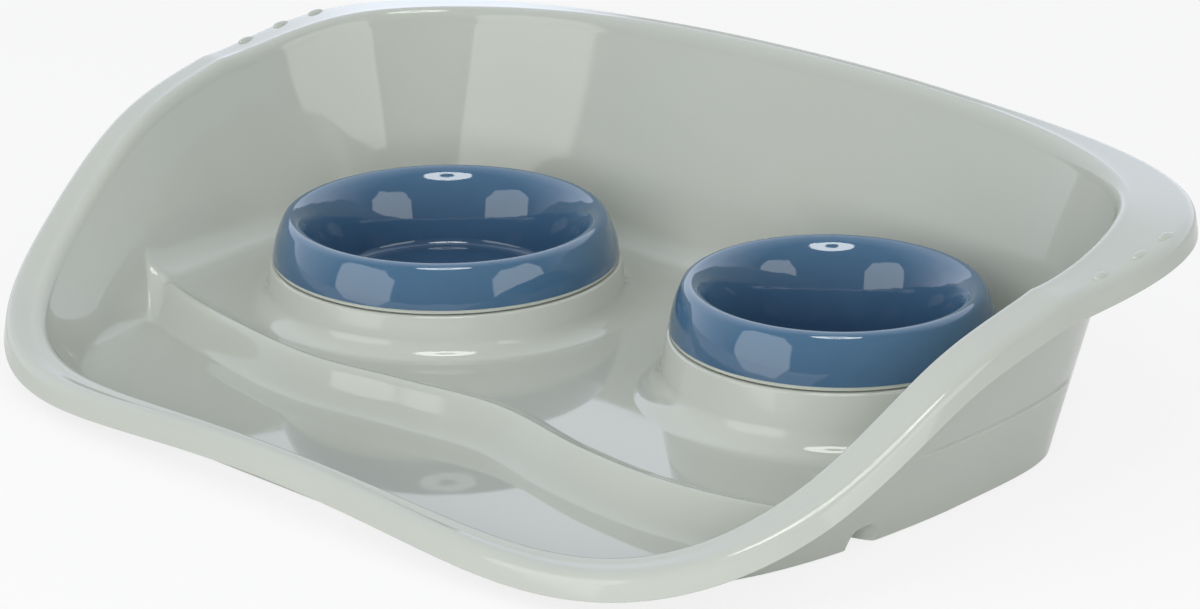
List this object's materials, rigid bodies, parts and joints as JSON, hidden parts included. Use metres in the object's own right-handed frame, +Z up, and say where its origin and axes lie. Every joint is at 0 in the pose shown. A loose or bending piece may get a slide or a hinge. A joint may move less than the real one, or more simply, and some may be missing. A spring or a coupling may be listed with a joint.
{
  "type": "double pet bowl",
  "caption": "Moulded feeding tray with a low front and a high curved splash-guard back, holding lift-out glazed ceramic bowls on raised pedestals.",
  "frame": {"origin": "on the table, in the middle of the whole object's width and depth", "axes": "+X to the right along the long side, seen from the low front; +Y towards the high back; +Z up"},
  "size_m": [0.5242, 0.3481, 0.1231],
  "materials": {
    "tray_plastic": "glossy moulded plastic, warm light grey",
    "bowl_glaze": "glossy blue glaze",
    "foot_rubber": "matt soft rubber"
  },
  "bodies": {
    "tray": {"tray": "tray_plastic", "foot_front_left": "foot_rubber", "foot_front_right": "foot_rubber", "foot_back_left": "foot_rubber", "foot_back_right": "foot_rubber"},
    "left_bowl": {"left_bowl": "bowl_glaze"},
    "right_bowl": {"right_bowl": "bowl_glaze"}
  },
  "joints": [
    {"name": "left_bowl_lift", "type": "slide", "parent": "tray", "child": "left_bowl", "axis": [0, 0, 1], "range_m": [0, 0.12]},
    {"name": "right_bowl_lift", "type": "slide", "parent": "tray", "child": "right_bowl", "axis": [0, 0, 1], "range_m": [0, 0.12]}
  ]
}
